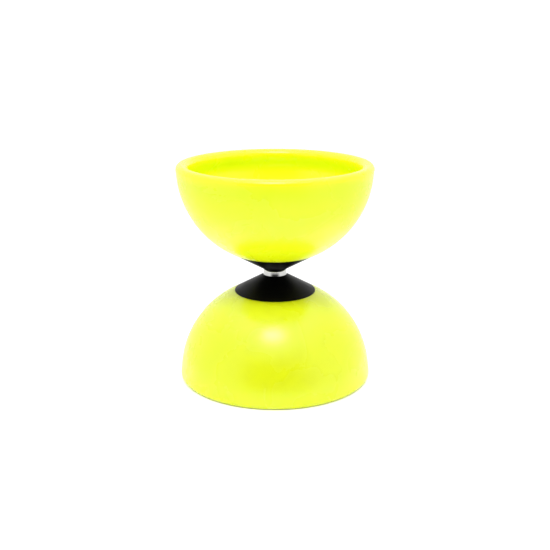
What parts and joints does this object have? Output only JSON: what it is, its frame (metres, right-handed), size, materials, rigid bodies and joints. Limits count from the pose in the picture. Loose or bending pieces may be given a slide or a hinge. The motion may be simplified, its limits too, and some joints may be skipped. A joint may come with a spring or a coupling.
{
  "type": "diabolo",
  "caption": "Free-wheel diabolo: two soft moulded cups, mouth outwards, on black cones and a steel axle whose grooved sleeve spins on ball bearings.",
  "frame": {"origin": "centre of the ring on which the lower cup's rim stands", "axes": "+Z along the axle, from the lower cup to the upper cup; the object is round about Z"},
  "size_m": [0.1174, 0.1174, 0.1326],
  "materials": {
    "cup_plastic": "satin soft moulded plastic, fluorescent yellow, slightly translucent",
    "cone_nylon": "matt black turned nylon",
    "sleeve_steel": "polished, with fine turning lines in the groove",
    "ground_steel": "ground",
    "zinc_steel": "bright zinc plate",
    "insert_nylon": "natural nylon",
    "bearing_steel": "ground and honed",
    "ball_steel": "mirror polished",
    "shield_steel": "pressed, satin",
    "clutch_steel": "drawn and case-hardened",
    "spring_steel": "tempered strip",
    "cage_nylon": "glass-filled nylon"
  },
  "bodies": {
    "cups_and_axle": {"upper_cup": "cup_plastic", "lower_cup": "cup_plastic", "upper_cone": "cone_nylon", "lower_cone": "cone_nylon", "axle_shaft": "ground_steel", "upper_washer": "zinc_steel", "lower_washer": "zinc_steel", "upper_nut": "zinc_steel", "lower_nut": "zinc_steel", "upper_nut_insert": "insert_nylon", "lower_nut_insert": "insert_nylon", "upper_spacer": "zinc_steel", "lower_spacer": "zinc_steel", "upper_bearing_inner_ring": "bearing_steel", "lower_bearing_inner_ring": "bearing_steel"},
    "sleeve": {"string_sleeve": "sleeve_steel", "clutch_shell": "clutch_steel", "clutch_cage": "cage_nylon", "clutch_springs": "spring_steel", "clutch_rollers": "ball_steel", "upper_bearing_outer_ring": "bearing_steel", "lower_bearing_outer_ring": "bearing_steel", "upper_bearing_shields": "shield_steel", "lower_bearing_shields": "shield_steel"},
    "upper_ball_set": {"upper_bearing_balls": "ball_steel", "upper_bearing_cage": "cage_nylon"},
    "lower_ball_set": {"lower_bearing_balls": "ball_steel", "lower_bearing_cage": "cage_nylon"}
  },
  "joints": [
    {"name": "sleeve_spin", "type": "hinge", "parent": "cups_and_axle", "child": "sleeve", "pos_m": [0, 0, 0.0663], "axis": [0, 0, 1], "continuous": true},
    {"name": "upper_ball_orbit", "type": "hinge", "parent": "cups_and_axle", "child": "upper_ball_set", "pos_m": [0, 0, 0.0745], "axis": [0, 0, 1], "continuous": true},
    {"name": "lower_ball_orbit", "type": "hinge", "parent": "cups_and_axle", "child": "lower_ball_set", "pos_m": [0, 0, 0.0581], "axis": [0, 0, 1], "continuous": true}
  ],
  "couplings": [
    {"joint": "upper_ball_orbit", "follows": "sleeve_spin", "ratio": 0.59211},
    {"joint": "lower_ball_orbit", "follows": "sleeve_spin", "ratio": 0.59211}
  ]
}
